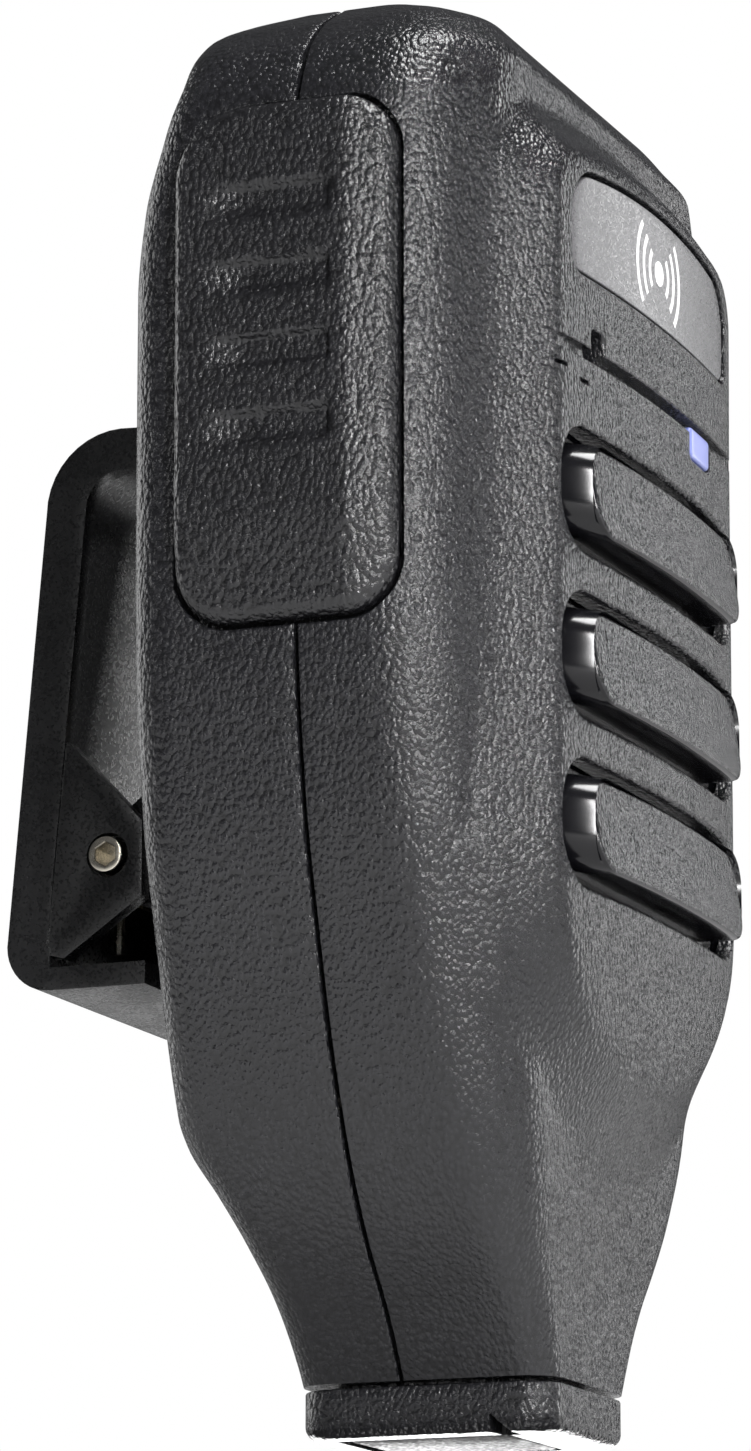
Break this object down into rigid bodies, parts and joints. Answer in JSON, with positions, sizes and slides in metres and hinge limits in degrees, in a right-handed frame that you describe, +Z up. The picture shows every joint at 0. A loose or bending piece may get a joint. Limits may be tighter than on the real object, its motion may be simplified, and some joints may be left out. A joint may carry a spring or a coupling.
{
  "type": "hand microphone",
  "caption": "Wireless hand microphone with a side push-to-talk button, louvred speaker front, tapered neck and a swivelling sprung belt clip.",
  "frame": {"origin": "on the underside of the base, in the plane where the two casing halves meet, midway between the sides", "axes": "+Z up from the base to the top of the casing; -Y out of the speaker front; -X towards the push-to-talk button"},
  "size_m": [0.0557, 0.0455, 0.096],
  "materials": {
    "casing": "charcoal moulded plastic with a leather grain",
    "button": "black moulded plastic with a coarse grain",
    "grille": "glossy black plastic, grained on the outer faces",
    "badge": "satin grey printed plate",
    "clip": "smooth satin black plastic",
    "steel": "nickel plated",
    "rubber": "matt",
    "lens": "milky translucent plastic",
    "board": "solder mask",
    "cone": "pressed paper and felt",
    "cell": "shrink sleeve"
  },
  "bodies": {
    "housing": {"front_cover": "casing", "rear_cover": "casing", "base_cap": "casing", "badge_plate": "badge", "speaker_grille": "grille", "speaker_cloth": "cone", "speaker_gasket": "rubber", "speaker_frame": "steel", "speaker_cone": "cone", "speaker_magnet": "steel", "microphone_boot": "rubber", "microphone_capsule": "steel", "lamp_lens": "lens", "status_lamp": "lens", "ptt_switch": "button", "power_switch": "button", "circuit_board": "board", "radio_module": "steel", "battery_cell": "cell", "battery_pad": "rubber", "charge_socket": "steel", "rear_screw_1": "steel", "rear_screw_2": "steel", "rear_screw_3": "steel", "rear_screw_4": "steel", "swivel_screw": "steel"},
    "ptt": {"ptt_button": "button"},
    "power": {"power_key": "button"},
    "port": {"port_cover": "rubber"},
    "clip_base": {"clip_bracket": "clip", "clip_pin": "steel", "clip_spring": "steel"},
    "clip_arm": {"clip_lever": "clip"}
  },
  "joints": [
    {"name": "ptt_press", "type": "slide", "parent": "housing", "child": "ptt", "axis": [1, 0, 0], "range_m": [0, 0.001], "stiffness_N_per_m": 400},
    {"name": "power_press", "type": "slide", "parent": "housing", "child": "power", "axis": [-1, 0, 0], "range_m": [0, 0.0006], "stiffness_N_per_m": 300},
    {"name": "port_cover_hinge", "type": "hinge", "parent": "housing", "child": "port", "pos_m": [0, 0.0046, 0.00075], "axis": [1, 0, 0], "range_deg": [0, 100]},
    {"name": "clip_swivel", "type": "hinge", "parent": "housing", "child": "clip_base", "pos_m": [0, 0.0143, 0.052], "axis": [0, 1, 0], "continuous": true},
    {"name": "clip_open", "type": "hinge", "parent": "clip_base", "child": "clip_arm", "pos_m": [0, 0.0205, 0.0403], "axis": [-1, 0, 0], "range_deg": [0, 16], "stiffness_Nm_per_rad": 0.15}
  ]
}
